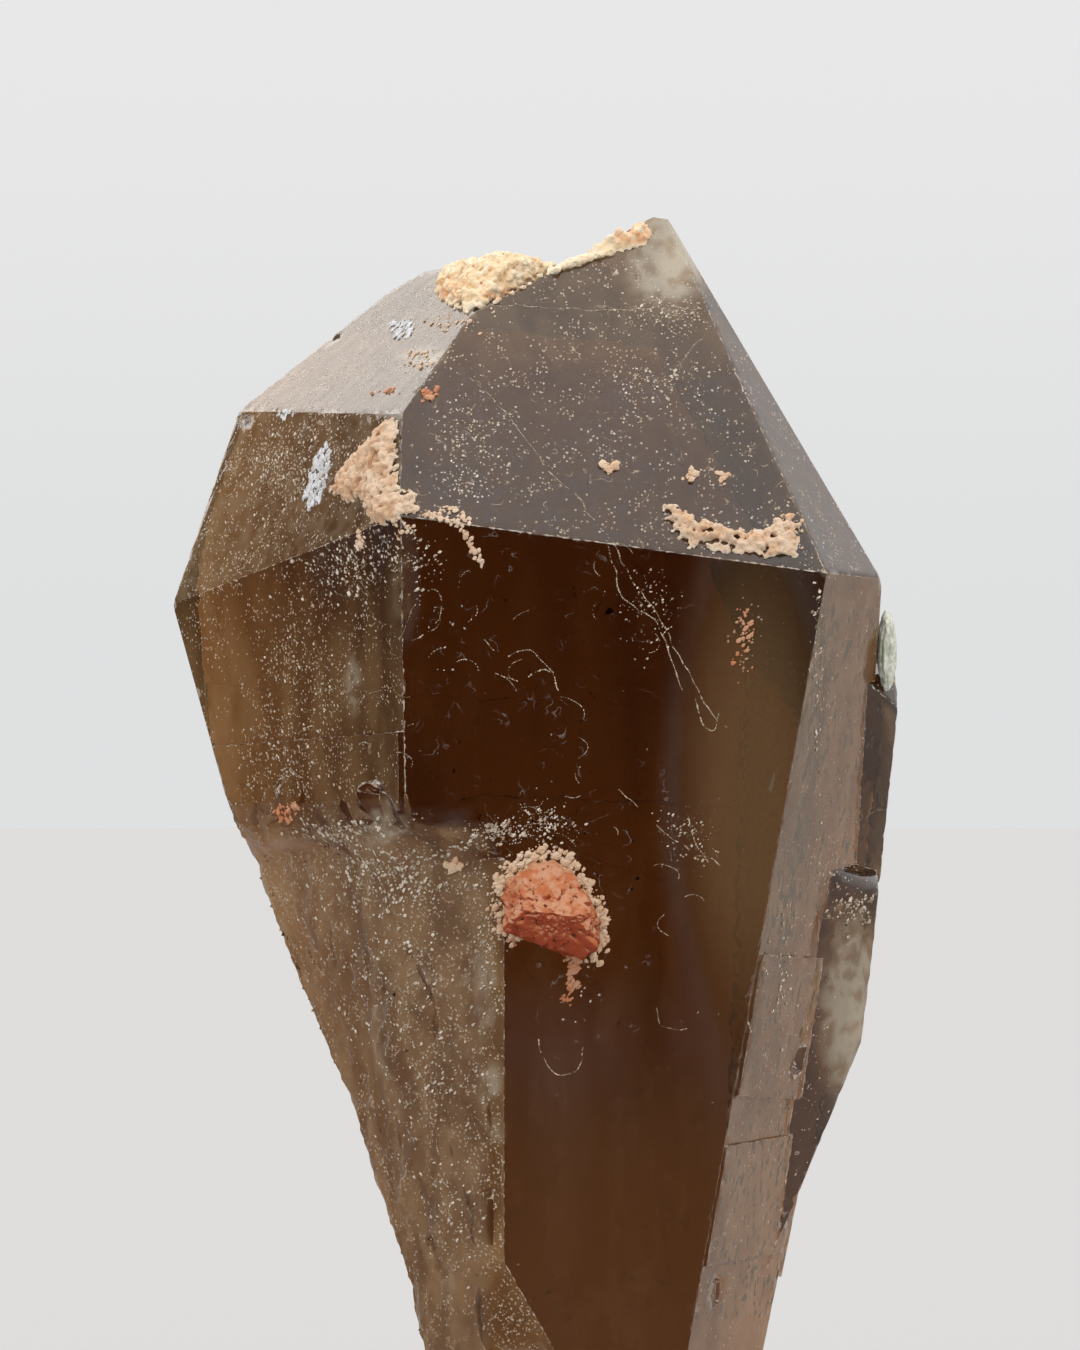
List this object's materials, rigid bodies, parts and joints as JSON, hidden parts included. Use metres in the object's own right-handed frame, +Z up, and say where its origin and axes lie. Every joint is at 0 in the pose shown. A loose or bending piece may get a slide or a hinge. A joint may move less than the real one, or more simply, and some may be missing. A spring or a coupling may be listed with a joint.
{
  "type": "smoky quartz crystal",
  "caption": "Brown smoky quartz crystal with a smaller crystal grown along its side and peach and orange feldspar on its faces, standing on its broken foot.",
  "frame": {"origin": "middle of the bounding box, at the height of the foot it stands on", "axes": "+Z up along the crystal towards its tip, the big flat prism face faces -Y, +X to the right as seen from there"},
  "size_m": [0.059, 0.0424, 0.0984],
  "materials": {
    "smoky_quartz": "see-through brown crystal, smooth faces with rough ledges",
    "feldspar_peach": "crumbly and matt",
    "feldspar_red": "crumbly and matt",
    "pale_mica": "satin flake"
  },
  "bodies": {
    "root": {"quartz_crystal": "smoky_quartz", "feldspar_grain": "feldspar_red", "feldspar_ridge_crust": "feldspar_peach", "feldspar_left_crust": "feldspar_peach", "feldspar_right_crust": "feldspar_peach", "pale_flake": "pale_mica"}
  },
  "joints": []
}
